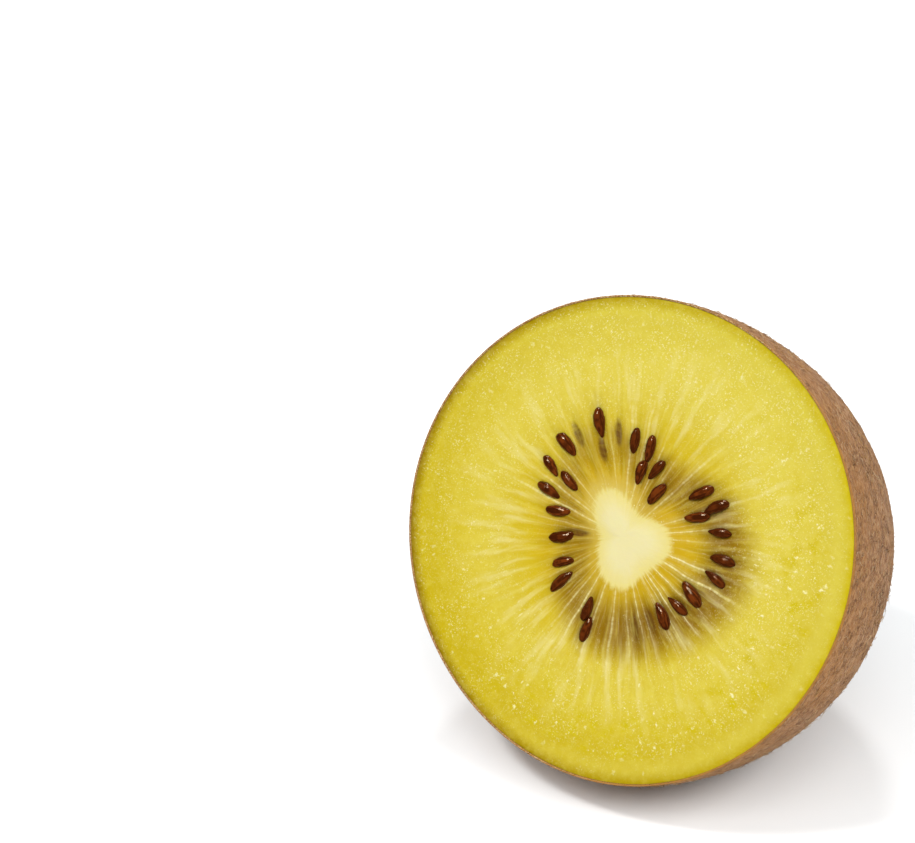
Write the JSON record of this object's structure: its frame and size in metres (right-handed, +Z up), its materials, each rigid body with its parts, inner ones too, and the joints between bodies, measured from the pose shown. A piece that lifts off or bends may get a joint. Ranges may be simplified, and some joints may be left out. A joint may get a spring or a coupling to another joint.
{
  "type": "halved golden kiwi fruit",
  "caption": "Golden kiwi fruit cut across the middle, lying on its round side with the cut face turned up to the front.",
  "frame": {"origin": "middle of the flat spot on the round side, which the half rests on", "axes": "+Z up, away from the surface it rests on; the cut face looks towards -Y and 27 degrees up; +X to the right as seen from the front, along the cut face's level width, which is the longest extent"},
  "size_m": [0.0559, 0.0474, 0.0534],
  "materials": {
    "skin": "thin dull brown peel with short felted hairs",
    "flesh": "moist golden flesh, softly translucent, with dark seeds",
    "core": "pale cream core, smooth and dull",
    "stem_scar": "dry fibrous stalk scar",
    "seed": "glossy dark brown seed coat",
    "hair": "fine dry light brown hairs"
  },
  "bodies": {
    "root": {"skin": "skin", "flesh": "flesh", "core": "core", "stem_scar": "stem_scar"}
  },
  "joints": []
}
